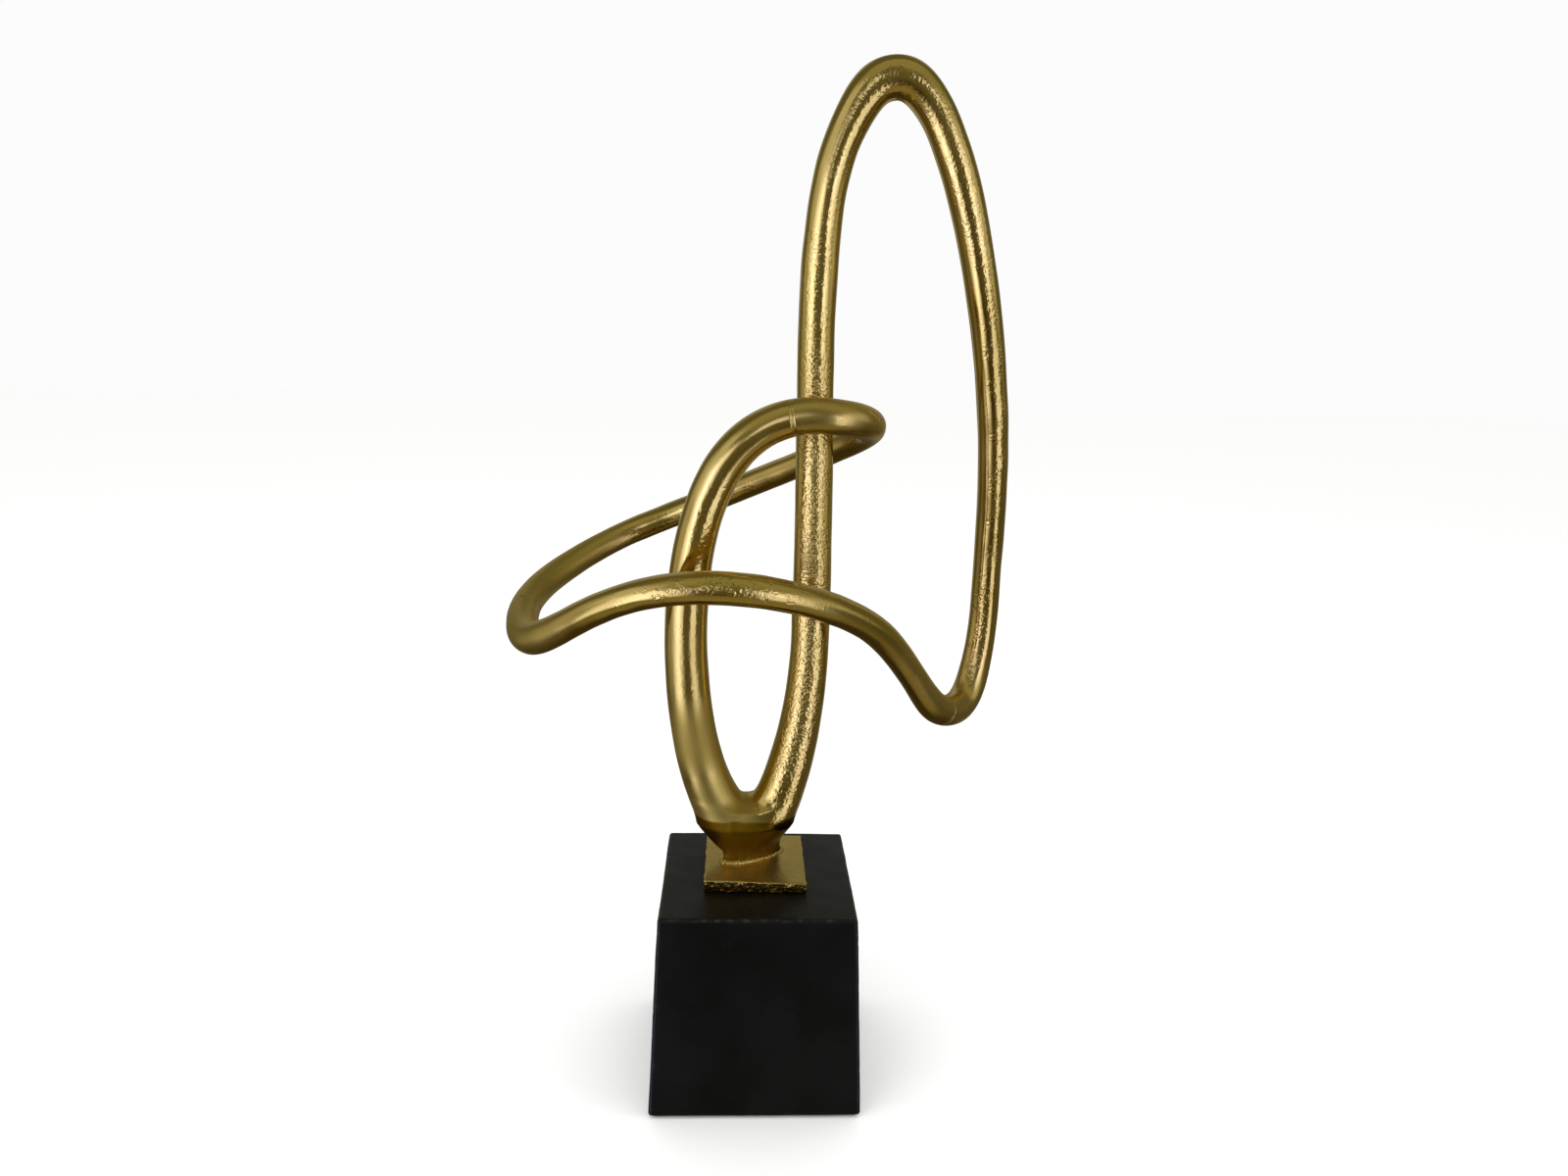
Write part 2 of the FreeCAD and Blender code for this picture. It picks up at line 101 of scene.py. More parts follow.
# The wedge of the neck, from foot to crotch: x, y, z, half length, half thickness and turn in degrees.
NECK_LEVELS = [
    (-2.5, 8.5, 112, 17.8, 5.4, 32),
    (-2.8, 8, 122, 17.6, 7.4, 29),
    (-5.2, 7, 129.5, 20.4, 10.2, 15),
    (-7, 6, 137, 24.2, 12.3, 3),
    (-7.3, 6, 144.5, 22.6, 11.2, 0),
]
PLATE_LEFT_THICKNESS = 7.2
PLATE_RIGHT_THICKNESS = 5.2
PLINTH_TOP_WIDTH = 100
PLINTH_FOOT_WIDTH = 109.6

# ---------------------------------------------------------------- sizes of the surface's detail
RING_SPACING = 1.0
POINTS_ROUND = 72
SINK = 0.2                  # the castings' mean surface lies this far inside the CAD tube
SKIN_SINK = 0.02            # and the mould's rough skin this much further
GRAIN_ALONG = 0.08          # the grain's scale along the tube, over its scale across it
SEAM_HALF_GAP = 0.6
SEAM_OVERLAP = 0.5
SEAM_RINGS = 13
SEAM_DIP = 0.0016
SEAM_DIP_WIDTH = 0.8
SEAM_CROWN = 0.006
SEAM_ROUGH = 0.05
PIT_RIM = 0.25              # height of a pit's rim over the pit's depth
PIT_RIM_RADIUS = 1.9        # and its radius over the pit's radius
BLEND = 10.0                # width over which the neck's wedge and tube melt together
CROTCH_BLEND = 3.0
NECK_CELL = 1.15
NECK_LOW = (-52, -14, 111)
NECK_HIGH = (38, 28, 188)
NECK_OVERLAP = 12.0         # the neck and the castings that join it run under each other over this length
OVERLAP_SINK = 0.16
END_REACH = 25              # a neck arm's flat end cuts only points this near to its middle
RIDGE_X = -14
RIDGE_Z = 139
RIDGE_HALF_WIDTH = 0.7
RIDGE_HALF_HEIGHT = 6
RIDGE_DEPTH = 0.28
# Height of the top edge of the brown painted reflection and shade on the neck's wedge.
PAINTED_REFLECTION_EDGE_Z = 142
PLATE_ROUND = 0.9
PLATE_SHRINK = 0.35
PLATE_SPACING = 0.5
BEAD_STEPS = 300
BEAD_ROUND = 20
BEAD_OFF_ENDS = 0.9         # its middle's distance from the foot's outline, at the ends
BEAD_OFF_SIDES = 1.5        # and at the sides
BEAD_LIFT = 0.25            # and above the plate
BEAD_RADIUS = 0.85
BEAD_SWELL = 1.2            # how much thicker it is at its fullest
BEAD_SPUR = 0.8
BEAD_RIPPLES = 46
PLINTH_ROUND = 2.0
PLINTH_SPACING = 1.9
PLINTH_WORN_WIDTH = 3.2
DULL_END_FADE = 18
BAND_REACH = 30             # points further than this before a band's start count as after its end
BAND_FADE_OUTSIDE = 14
BAND_FADE_INSIDE = 10
BAND_BLUR = 0.10

# Layers of smooth random waves: height, wavelength and seed of each.
SLOW_WAVES = ((0.10, 52, 11), (0.035, 17, 12))
FACETS = ((0.05, 7.5, 13), (0.014, 3.6, 14))
MOULD_SKIN = ((0.012, 4.2, 15), (0.009, 2.6, 16))
SEAM_RIPPLE = ((0.004, 6, 21), (0.0015, 2.4, 22))
RAGGED_EDGE = ((0.128, 11, 41), (0.072, 4, 42))
PLATE_SIDE_WAVES = ((0.09, 2.6, 51), (0.09, 1.6, 52), (0.1, 9, 53))
PLATE_TOP_WAVES = ((0.035, 14, 54), (0.012, 4, 55))
PLINTH_FACE_WAVES = ((0.07, 60, 71), (0.03, 17, 72))

# Bands left rough from the mould: from station, to station, the way they face, half width in degrees
# and strength.
ROUGH_BANDS = [
    ("bar_high", "bar_root", (0.0, -1, 0.0), 50, 1.0),
    ("bar_top", "bar_high", (-0.2, -1, 0.0), 40, 0.5),
    ("bar_root", "neck_right", (0.45, -1, 0.1), 34, 1.0),
    ("right_heel", "right_rise", (-0.5, -1, 0.0), 36, 0.7),
    ("right_rise", "right_shoulder", (0.3, -1, 0.0), 28, 0.6),
    ("right_shoulder", "crown_near", (0.2, -1, 0.0), 48, 0.45),
    ("crown_near", "crown_left", (0.1, -1, -0.5), 46, 0.4),
    ("crown_left", "bar_top", (0.5, -1, 0.0), 34, 0.25),
    ("leg_low", "leg_mid", (0.25, -1, 0.1), 32, 0.25),
    ("leg_mid", "leg_shoulder", (0.4, -1, -0.1), 26, 0.45),
    ("front_rise", "front_right", (0.0, -1, 0.3), 21, 1.0),
    ("front_right", "front_low", (0.1, -1, 0.5), 24, 0.35),
    ("back_right", "back_end", (0.1, -1, -0.2), 30, 0.45),
]
# Small pits and nicks: station, mm along the tube from it, the way they face, radius and depth.
PITS = [
    ("loop_seam", -1.5, (0, -0.55, 0.8), 1.0, 0.35),
    ("loop_seam", 1.0, (0, -0.5, -0.85), 2.2, 0.4),
    ("loop_crest", -2.0, (0, -1, -0.15), 0.9, 0.28),
    ("loop_crest", -3.2, (0, -1, -0.3), 0.8, 0.22),
    ("left_seam", 4.0, (-1, -0.35, 0.25), 1.1, 0.4),
    ("left_seam", 9.0, (-0.9, -0.7, -0.1), 1.0, 0.35),
    ("left_seam", -6.0, (-1, 0, -0.3), 1.2, 0.3),
    ("left_heel", 4.0, (-0.5, -1, -0.4), 1.0, 0.25),
    ("leg_mid", -32.0, (0.35, -1, 0), 0.8, 0.2),
    ("leg_mid", -26.0, (0.5, -1, 0), 0.7, 0.16),
    ("leg_mid", -20.0, (0.42, -1, 0), 0.6, 0.15),
    ("front_right", -6.0, (0, -0.4, 1), 1.1, 0.25),
    ("right_rise", 18.0, (-0.3, -1, 0), 0.7, 0.15),
    ("bar_mid", 8.0, (-0.4, -1, 0), 0.7, 0.15),
]
# Lengths where the finish is dull: from station, to station, strength and how far each end fades.
DULL_LENGTHS = [
    ("neck_right_low", "leg_root", 1.0, 10),
    ("leg_root", "leg_low", 1.5, 14),
    ("leg_root", "leg_mid", 0.35, 18),
    ("back_left", "front_left", 0.9, 18),
    ("front_rise", "front_fall", 0.2, 18),
    ("front_fall", "right_low", 0.4, 18),
    ("loop_seam", "turn_back", 0.5, 5),
    ("back_right", "back_left", 0.1, 18),
    ("bar_high", "bar_knee", 0.25, 30),
]


# ---------------------------------------------------------------- curve and field helpers
def periodic_spline(knots, values):
    """Closed cubic spline through values, whose last row repeats the first. Returns a function."""
    count = len(knots) - 1
    step = np.diff(knots)
    slope = np.diff(values, axis=0) / step[:, None]
    matrix = np.zeros((count, count))
    for i in range(count):
        matrix[i, i - 1] += step[i - 1]
        matrix[i, i] += 2 * (step[i - 1] + step[i])
        matrix[i, (i + 1) % count] += step[i]
    bend = np.linalg.solve(matrix, 6 * (slope - np.roll(slope, 1, axis=0)))
    bend = np.vstack([bend, bend[:1]])

    def at(t):
        t = np.mod(np.asarray(t, float) - knots[0], knots[-1] - knots[0]) + knots[0]
        i = np.clip(np.searchsorted(knots, t, side="right") - 1, 0, count - 1)
        before = ((knots[i + 1] - t) / step[i])[:, None]
        after = 1 - before
        curl = (before ** 3 - before) * bend[i] + (after ** 3 - after) * bend[i + 1]
        return before * values[i] + after * values[i + 1] + curl * (step[i] ** 2)[:, None] / 6

    return at


def unit(vectors):
    vectors = np.asarray(vectors, float)
    return vectors / np.linalg.norm(vectors, axis=-1, keepdims=True)


def ease(low, high, value):
    """0 below low, 1 above high, smooth between."""
    t = np.clip((value - low) / (high - low), 0, 1)
    return t * t * (3 - 2 * t)


def hump(value, middle, width):
    """1 at the middle, falling smoothly to 0 on both sides."""
    return np.exp(-((value - middle) / width) ** 2)


def waves(points, wavelength, seed, count=22):
    """Smooth random field with a mean square of 1, made of plane waves about that long."""
    random = np.random.default_rng(seed)
    ways = unit(random.normal(size=(count, 3)))
    lengths = wavelength * random.uniform(0.7, 1.5, count)
    phases = random.uniform(0, 2 * math.pi, count)
    return np.sin(points @ (2 * math.pi * ways / lengths[:, None]).T + phases).sum(1) / math.sqrt(count / 2)


def layered(points, layers):
    """Sum of layers of random waves, each one given as its height, wavelength and seed."""
    return sum(height * waves(points, wavelength, seed) for height, wavelength, seed in layers)


class Path:
    """The loop's centreline, evenly sampled from the left bend's seam, with a frame that doesn't twist."""

    STEP = 0.25

    def __init__(self):
        first = [s[0] for s in STATIONS].index("left_seam")
        order = STATIONS[first:] + STATIONS[:first]
        table = np.array([s[1:] for s in order + order[:1]], float)
        chord = np.linalg.norm(np.diff(table[:, :3], axis=0), axis=1)
        knots = np.concatenate([[0], np.cumsum(chord)])
        curve = periodic_spline(knots, table)
        fine = np.linspace(0, knots[-1], int(knots[-1] * 8))
        points = curve(fine)
        run = np.concatenate([[0], np.cumsum(np.linalg.norm(np.diff(points[:-1, :3], axis=0), axis=1))])
        self.length = run[-1] + np.linalg.norm(points[0, :3] - points[-2, :3])
        self.along = np.arange(0, self.length, self.STEP)
        parameter = np.interp(self.along, run, fine[:-1])
        rows = curve(parameter)
        self.centre = rows[:, :3]
        self.radius = rows[:, 3] / 2
        self.tangent = unit(np.roll(self.centre, -1, 0) - np.roll(self.centre, 1, 0))
        self.place = {s[0]: float(np.interp(k, fine[:-1], run)) for s, k in zip(order, knots)}
        self.side = self.untwisted_sides()

    def untwisted_sides(self):
        sides = np.zeros_like(self.centre)
        side = np.cross(self.tangent[0], (0, 0, 1))
        for i, tangent in enumerate(self.tangent):
            side = side - tangent * (side @ tangent)
            side = side / math.sqrt(side @ side)
            sides[i] = side
        return sides

    def rows(self, along):
        """Indices of the samples nearest to those distances along the loop."""
        return np.round(np.mod(along, self.length) / self.STEP).astype(int) % len(self.along)

    def nearest(self, points, start, end):
        """Index of the centreline sample nearest to each point, from start to end along the loop."""
        window = self.rows(np.arange(start, end, 2 * self.STEP))
        found = np.empty(len(points), int)
        for first in range(0, len(points), 20000):
            some = points[first:first + 20000]
            gap = (some ** 2).sum(1)[:, None] - 2 * some @ self.centre[window].T
            found[first:first + 20000] = window[np.argmin(gap + (self.centre[window] ** 2).sum(1), axis=1)]
        return found


path = Path()


def span(start, end):
    """Distances along the loop of two stations, the second one after the first."""
    low, high = path.place[start], path.place[end]
    return low, high if high > low else high + path.length


def roughness_mask(points, outward, along):
    """How much of the mould's rough skin is left at each point, 0 to 1."""
    mask = np.zeros(len(points))
    ragged = layered(points, RAGGED_EDGE)
    for start, end, way, half_width, strength in ROUGH_BANDS:
        low, high = span(start, end)
        here = np.where(along < low - BAND_REACH, along + path.length, along)
        begun = ease(low - BAND_FADE_OUTSIDE, low + BAND_FADE_INSIDE, here)
        ended = ease(high - BAND_FADE_INSIDE, high + BAND_FADE_OUTSIDE, here)
        edge = math.cos(math.radians(half_width))
        across = ease(edge - BAND_BLUR, edge + BAND_BLUR, outward @ unit(way) + ragged)
        mask = np.maximum(mask, strength * begun * (1 - ended) * across)
    return mask


def dullness(along):
    """How dull the finish is along the loop, 0 to 1."""
    value = np.zeros(len(along))
    for start, end, strength, fade in DULL_LENGTHS:
        low, high = span(start, end)
        for turn in (0, path.length):
            here = along + turn
            ended = ease(high - DULL_END_FADE, high + DULL_END_FADE, here)
            inside = ease(low - fade, low + fade, here) * (1 - ended)
            value = np.maximum(value, strength * inside)
    return value


def pitted(points, tube):
    """Depth pressed into each point by the pits that lie on this stretch of the tube."""
    depth = np.zeros(len(points))
    low, high = tube
    for station, offset, way, radius, deep in PITS:
        where = path.place[station] + offset
        if not any(low <= where + turn <= high for turn in (0, path.length)):
            continue
        row = path.rows(np.array([where]))[0]
        way = unit(way)
        way = unit(way - path.tangent[row] * (way @ path.tangent[row]))
        middle = path.centre[row] + way * path.radius[row]
        gap = np.linalg.norm(points - middle, axis=1)
        rim = PIT_RIM * hump(gap, PIT_RIM_RADIUS * radius, radius)
        depth += deep * (hump(gap, 0, radius) - rim)
    return depth


def surface_relief(points, grain, rough):
    """Height of the hand-worked surface over its mean: slow waves, long grinding facets and rough skin."""
    skin = rough * (layered(points, MOULD_SKIN) - SKIN_SINK)
    return layered(points, SLOW_WAVES) + layered(grain, FACETS) + skin - SINK


# ---------------------------------------------------------------- mesh helpers
def add_piece(name, points, faces, material, attributes=None, stands_for=()):
    """Mesh object from points in mm, riding on the one body. Quads are smooth and end triangles flat."""
    mesh = bpy.data.meshes.new(name)
    mesh.from_pydata((np.asarray(points) * MM).tolist(), [], [list(map(int, f)) for f in faces])
    mesh.validate()
    mesh.polygons.foreach_set("use_smooth", [len(face) == 4 for face in faces])
    for label, values in (attributes or {}).items():
        values = np.asarray(values, np.float32)
        kind, field = ("FLOAT_VECTOR", "vector") if values.ndim == 2 else ("FLOAT", "value")
        mesh.attributes.new(label, kind, "POINT").data.foreach_set(field, values.ravel())
    mesh.materials.append(material)
    piece = bpy.data.objects.new(name, mesh)
    bpy.context.scene.collection.objects.link(piece)
    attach(piece, "root")
    if stands_for:
        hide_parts(*stands_for)
    return piece


def tube_faces(rings, around):
    """Quads between rings, with a fan of triangles closing each end. The two end points come last."""
    faces = []
    for ring in range(rings - 1):
        low = ring * around
        for k in range(around):
            after = (k + 1) % around
            faces.append((low + k, low + after, low + around + after, low + around + k))
    start, end = rings * around, rings * around + 1
    last = (rings - 1) * around
    for k in range(around):
        after = (k + 1) % around
        faces.append((start, after, k))
        faces.append((end, last + k, last + after))
    return faces


def swept(along, relief_at):
    """Rings round the centreline at those distances, with a point closing each end.

    relief_at(points, outward, along, grain) gives the height of the surface over the tube's mean radius.
    """
    rows = path.rows(along)
    angles = np.linspace(0, 2 * math.pi, POINTS_ROUND, endpoint=False)
    side = path.side[rows][:, None]
    other = np.cross(path.tangent[rows], path.side[rows])[:, None]
    outward = (np.cos(angles)[None, :, None] * side + np.sin(angles)[None, :, None] * other).reshape(-1, 3)
    centre = np.repeat(path.centre[rows], POINTS_ROUND, 0)
    mean = np.repeat(path.radius[rows], POINTS_ROUND)
    where = np.repeat(along, POINTS_ROUND)
    surface = centre + outward * mean[:, None]
    turn = np.tile(angles, len(rows))
    grain = np.stack([mean * np.cos(turn), mean * np.sin(turn), where * GRAIN_ALONG], 1)
    radius = mean + relief_at(surface, outward, where, grain)
    points = centre + outward * radius[:, None]
    ends = path.centre[rows[[0, -1]]]
    return np.vstack([points, ends]), outward, where, grain


def pad_ends(values):
    """Repeats the last values for the two end points that close a tube."""
    return np.concatenate([values, values[[0, -1]]])


def make_casting(name, start, end, material, seam_start=True, seam_end=True, stands_for=()):
    """One length of cast tube, its ends stopped just short of the ground seams."""
    low, high = span(start, end)
    low += SEAM_HALF_GAP if seam_start else -NECK_OVERLAP
    high -= SEAM_HALF_GAP if seam_end else -NECK_OVERLAP
    along = np.linspace(low, high, int((high - low) / RING_SPACING))
    kept = {}

    def relief(surface, outward, where, grain):
        rough = roughness_mask(surface, outward, np.mod(where, path.length))
        kept["rough"] = rough
        height = surface_relief(surface, grain, rough)
        for edge, is_seam in ((low, seam_start), (high, seam_end)):
            if is_seam:
                height -= SEAM_DIP * hump(where, edge, SEAM_DIP_WIDTH)
            else:
                height -= OVERLAP_SINK * (1 - ease(0, 2 * NECK_OVERLAP, np.abs(where - edge)))
        return height - pitted(surface, (low, high))

    points, outward, where, grain = swept(along, relief)
    attributes = {"rough": pad_ends(kept["rough"]), "grain": pad_ends(grain) * MM,
                  "dull": pad_ends(dullness(np.mod(where, path.length)))}
    faces = tube_faces(len(along), POINTS_ROUND)
    return add_piece(name, points, faces, material, attributes, stands_for)


def make_seam(name, station, material, stands_for):
    """Ground weld bead across the tube: a low, uneven crown that fills the gap between two castings."""
    middle = path.place[station]
    half = SEAM_HALF_GAP + SEAM_OVERLAP
    along = np.linspace(middle - half, middle + half, SEAM_RINGS)

    def relief(surface, outward, where, grain):
        crown = np.clip(1 - ((where - middle) / half) ** 2, 0, 1)
        uneven = layered(surface, SEAM_RIPPLE)
        ground = surface_relief(surface, grain, 0)
        ground = ground - SEAM_CROWN * (1 - np.sqrt(crown)) + uneven * crown
        return ground - pitted(surface, (middle - half, middle + half))

    points, outward, where, grain = swept(along, relief)
    attributes = {"rough": np.full(len(points), SEAM_ROUGH), "grain": pad_ends(grain) * MM,
                  "dull": pad_ends(dullness(np.mod(where, path.length)))}
    faces = tube_faces(len(along), POINTS_ROUND)
    return add_piece(name, points, faces, material, attributes, stands_for)


# ---------------------------------------------------------------- neck
def wedge_distance(points):
    """Distance from the neck's wedge, negative inside, from ellipses that change with height."""
    levels = np.array(NECK_LEVELS, float)
    across_x, across_y, _, half_length, half_thickness, turn = (
        np.interp(points[:, 2], levels[:, 2], levels[:, k]) for k in range(6))
    turn = np.radians(turn)
    gap_x, gap_y = points[:, 0] - across_x, points[:, 1] - across_y
    u = np.cos(turn) * gap_x + np.sin(turn) * gap_y
    v = -np.sin(turn) * gap_x + np.cos(turn) * gap_y
    scaled = np.hypot(u / half_length, v / half_thickness)
    steep = np.hypot(u / half_length ** 2, v / half_thickness ** 2) + 1e-9
    beside = scaled * (scaled - 1) / steep
    return np.maximum(beside, np.maximum(points[:, 2] - levels[-1, 2], levels[0, 2] - points[:, 2]))


NECK_SPAN = (path.place["bar_root"] - NECK_OVERLAP, path.place["leg_root"] + NECK_OVERLAP)
NECK_MIDDLE = (path.place["neck_right_low"] + path.place["neck_left_low"]) / 2


def melted(first, second, width):
    """The smaller of two distances, rounded off where they differ by less than width."""
    near = np.clip(1 - np.abs(first - second) / width, 0, 1)
    return np.minimum(first, second) - near ** 2 * width / 4


def neck_distance(points):
    """Distance from the neck: tube and wedge melted together, cut off inside the castings that join it."""
    low, high = NECK_SPAN
    rows = path.nearest(points, low, high)
    where = path.along[rows]
    from_end = np.minimum(where - low, high - where)
    radius = path.radius[rows] - SINK - OVERLAP_SINK * (1 - ease(0, 2 * NECK_OVERLAP, from_end))
    tube = np.linalg.norm(points - path.centre[rows], axis=1) - radius
    other_arm = path.nearest(points, NECK_MIDDLE, high)
    other_arm = np.where(where > NECK_MIDDLE, path.nearest(points, low, NECK_MIDDLE), other_arm)
    far_side = np.linalg.norm(points - path.centre[other_arm], axis=1) - path.radius[other_arm] + SINK
    tube = melted(tube, far_side, CROTCH_BLEND * ease(141, 149, points[:, 2]) + 0.01)
    body = melted(tube, wedge_distance(points) + SINK, BLEND)
    first, last = path.rows(np.array([low, high]))
    before = (path.centre[first] - points) @ path.tangent[first]
    after = (points - path.centre[last]) @ path.tangent[last]
    near_first = np.linalg.norm(points - path.centre[first], axis=1) < END_REACH
    near_last = np.linalg.norm(points - path.centre[last], axis=1) < END_REACH
    body = np.where(near_first, np.maximum(body, before), body)
    return np.where(near_last, np.maximum(body, after), body)


def surface_net(distance, low, high, cell):
    """Closed quad mesh near where distance is zero: a point in each grid cell that the surface crosses."""
    axes = [np.arange(low[k], high[k] + cell, cell) for k in range(3)]
    shape = tuple(len(a) for a in axes)
    grid = np.stack(np.meshgrid(*axes, indexing="ij"), -1).reshape(-1, 3)
    inside = (distance(grid) < 0).reshape(shape)
    corners = sum(inside[i:shape[0] - 1 + i, j:shape[1] - 1 + j, k:shape[2] - 1 + k].astype(int)
                  for i in (0, 1) for j in (0, 1) for k in (0, 1))
    active = (corners > 0) & (corners < 8)
    number = np.full(active.shape, -1)
    number[active] = np.arange(active.sum())
    points = np.array(low) + (np.argwhere(active) + 0.5) * cell
    faces = []
    for axis in range(3):
        b, c = (axis + 1) % 3, (axis + 2) % 3
        here = np.moveaxis(inside, (axis, b, c), (0, 1, 2))
        cells = np.moveaxis(number, (axis, b, c), (0, 1, 2))
        changes = np.argwhere(here[:-1, 1:-1, 1:-1] != here[1:, 1:-1, 1:-1])
        i, j, k = changes[:, 0], changes[:, 1] + 1, changes[:, 2] + 1
        corners = [cells[i, j - 1, k - 1], cells[i, j, k - 1], cells[i, j, k], cells[i, j - 1, k]]
        quads = np.stack(corners, 1)
        leaving = here[i, j, k]
        faces.append(np.where(leaving[:, None], quads, quads[:, ::-1]))
    return points, np.vstack(faces)


def gradient(distance, points, step=0.15):
    """Way in which distance grows fastest, not scaled to length 1."""
    parts = []
    for k in range(3):
        shift = np.zeros(3)
        shift[k] = step
        parts.append((distance(points + shift) - distance(points - shift)) / (2 * step))
    return np.stack(parts, 1)


def settle(distance, points, faces, rounds):
    """Evens the points out over the surface, and puts them back on it each time."""
    corners = faces.shape[1]
    for _ in range(rounds):
        total = np.zeros_like(points)
        count = np.zeros(len(points))
        for k in range(corners):
            for other in (faces[:, (k + 1) % corners], faces[:, k - 1]):
                np.add.at(total, faces[:, k], points[other])
                np.add.at(count, faces[:, k], 1)
        points = 0.4 * points + 0.6 * total / count[:, None]
        for _ in range(2):
            slope = gradient(distance, points)
            squared = np.maximum((slope ** 2).sum(1), 0.2)
            points = points - np.clip(distance(points), -1, 1)[:, None] * slope / squared[:, None]
    return points, unit(gradient(distance, points))


def ridge_on_wedge(points):
    """Height of the small upright ridge that the mould left on the wedge's front, towards the left."""
    across = hump(points[:, 0], RIDGE_X, RIDGE_HALF_WIDTH)
    upright = hump(points[:, 2], RIDGE_Z, RIDGE_HALF_HEIGHT)
    return RIDGE_DEPTH * across * upright * (points[:, 1] < 0)


def painted_reflection_on_neck(points):
    """Brown painted reflection of the plate and plinth, and painted shade, on the wedge below an uneven
    edge: darkest at both ends, thinner towards the foot.
    """
    edge = points[:, 2] - PAINTED_REFLECTION_EDGE_Z + 0.25 * waves(points, 12, 32)
    below = 1 - ease(-0.4, 1.0, edge)
    ends = ease(9, 19, np.abs(points[:, 0] + 6))
    depth = np.clip((PAINTED_REFLECTION_EDGE_Z - points[:, 2]) / 26, 0, 1)
    return below * (0.66 + 0.3 * ends - 0.25 * depth * (1 - ends))


def make_neck(material):
    """The neck casting: the loop's U-shaped bottom running smoothly into the wedge on the plate."""
    points, faces = surface_net(neck_distance, NECK_LOW, NECK_HIGH, NECK_CELL)
    points, outward = settle(neck_distance, points, faces, 3)
    rows = path.nearest(points, *NECK_SPAN)
    where = path.along[rows]
    side = path.side[rows]
    other = np.cross(path.tangent[rows], side)
    arm = points - path.centre[rows]
    grain = np.stack([(arm * side).sum(1), (arm * other).sum(1), where * GRAIN_ALONG], 1)
    rough = roughness_mask(points, outward, where)
    height = surface_relief(points, grain, rough) + SINK
    on_wedge = 1 - ease(127, 134, points[:, 2])
    height += on_wedge * 0.10 * waves(points, 7, 31)
    height += ridge_on_wedge(points)
    points = points + outward * height[:, None]
    # On the wedge, brown painted reflection of the plate and plinth, and painted shade.
    attributes = {"rough": rough, "grain": grain * MM, "dull": dullness(np.mod(where, path.length)),
                  "brown_darkening": painted_reflection_on_neck(points)}
    return add_piece("neck", points, faces, material, attributes,
                     ("neck_casting", "bar_root_weld", "leg_root_weld"))


# ---------------------------------------------------------------- plate and its bead
def box_of(node):
    """Centre and half size of a CAD node, in mm."""
    low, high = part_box(node)
    return (np.array(low) + np.array(high)) / 2 / MM, (np.array(high) - np.array(low)) / 2 / MM


def box_lines(half, rounding, spacing, arc_steps=5):
    """Grid lines across one side of a rounded box: close together round the edges, even between them."""
    flat = half - rounding
    inner = np.linspace(-flat, flat, max(2, int(2 * flat / spacing)))
    bend = flat + rounding * np.tan(np.linspace(0, math.pi / 4, arc_steps + 1)[1:])
    return np.concatenate([-bend[::-1], inner, bend])


def rounded_box(half, rounding, spacing):
    """Closed grid mesh of a box with round edges: points and quads, centred on zero."""
    lines = [box_lines(h, rounding, spacing) for h in half]
    points, faces, base = [], [], 0
    for axis in range(3):
        b, c = (axis + 1) % 3, (axis + 2) % 3
        for way in (-1, 1):
            grid_b, grid_c = np.meshgrid(lines[b], lines[c], indexing="ij")
            side = np.zeros(grid_b.shape + (3,))
            side[..., axis] = way * half[axis]
            side[..., b], side[..., c] = grid_b, grid_c
            rows, columns = grid_b.shape
            first = base + np.arange(rows * columns).reshape(rows, columns)
            corners = (first[:-1, :-1], first[1:, :-1], first[1:, 1:], first[:-1, 1:])
            quads = np.stack(corners, -1).reshape(-1, 4)
            faces.append(quads if way > 0 else quads[:, ::-1])
            points.append(side.reshape(-1, 3))
            base += rows * columns
    points, faces = np.vstack(points), np.vstack(faces)
    _, keep, same = np.unique(np.round(points, 5), axis=0, return_index=True, return_inverse=True)
    points, faces = points[keep], same.ravel()[faces]
    inner = np.clip(points, -(np.array(half) - rounding), np.array(half) - rounding)
    outward = unit(points - inner)
    return inner + rounding * outward, outward, faces


PLATE_CENTRE, PLATE_HALF = box_of("mounting_plate")
PLATE_BOTTOM = PLATE_CENTRE[2] - PLATE_HALF[2]


def plate_top(x):
    """Height of the plate's top, which falls from left to right."""
    share = (x - PLATE_CENTRE[0]) / (2 * PLATE_HALF[0]) + 0.5
    return PLATE_BOTTOM + PLATE_LEFT_THICKNESS + share * (PLATE_RIGHT_THICKNESS - PLATE_LEFT_THICKNESS)


def make_plate(material):
    """Cast plate with a ground top and rough, uneven edges."""
    half = PLATE_HALF - (PLATE_SHRINK, PLATE_SHRINK, 0)
    points, outward, faces = rounded_box(half, PLATE_ROUND, PLATE_SPACING)
    points = points + PLATE_CENTRE
    on_side = ease(0.35, 0.9, np.hypot(outward[:, 0], outward[:, 1]))
    on_top = ease(0.5, 0.95, outward[:, 2])
    height = on_side * (layered(points, PLATE_SIDE_WAVES) - 0.1) + on_top * layered(points, PLATE_TOP_WAVES)
    level = (points[:, 2] - PLATE_BOTTOM) / (2 * PLATE_HALF[2])
    points[:, 2] = PLATE_BOTTOM + level * (plate_top(points[:, 0]) - PLATE_BOTTOM)
    points = points + outward * height[:, None]
    points[:, 2] = np.maximum(points[:, 2], PLATE_BOTTOM)
    # Browner towards the bottom of the plate's sides, and a little on its top.
    low_band = on_side * (0.80 - 0.75 * ease(0.28, 0.60, level + 0.1 * waves(points, 5, 56)))
    attributes = {"rough": on_side, "grain": points * MM, "dull": on_top * 0.7 + on_side * 0.3,
                  "brown_darkening": low_band + 0.12 * on_top}
    return add_piece("plate", points, faces, material, attributes, ("mounting_plate",))


